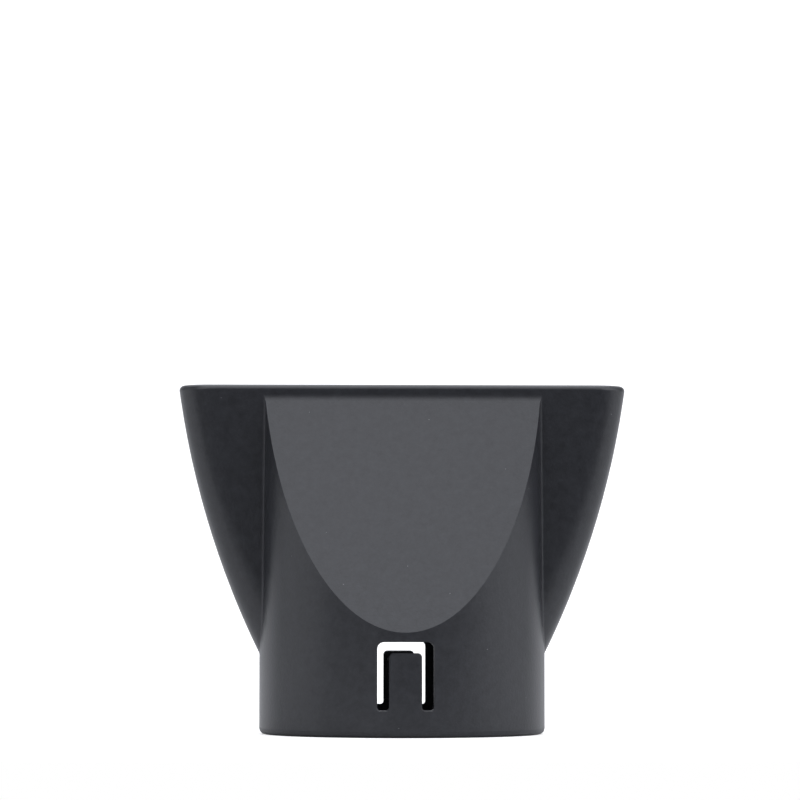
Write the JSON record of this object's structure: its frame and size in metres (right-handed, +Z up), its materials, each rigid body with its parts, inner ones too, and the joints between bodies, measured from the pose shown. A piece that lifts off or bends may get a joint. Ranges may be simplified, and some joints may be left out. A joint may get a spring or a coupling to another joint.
{
  "type": "hair dryer concentrator nozzle",
  "caption": "Slip-on hair dryer nozzle: a round collar with snap tabs narrows through a flat-sided duct to a wide slit mouth.",
  "frame": {"origin": "centre of the collar's lower rim, on the plane that the nozzle stands on", "axes": "+Z up along the collar's axis to the mouth, X along the mouth's width, the shown side faces -Y"},
  "size_m": [0.0752, 0.048, 0.0585],
  "materials": {
    "moulded_plastic": "dark grey, fine spark-eroded texture"
  },
  "bodies": {
    "root": {"nozzle_body": "moulded_plastic"}
  },
  "joints": []
}
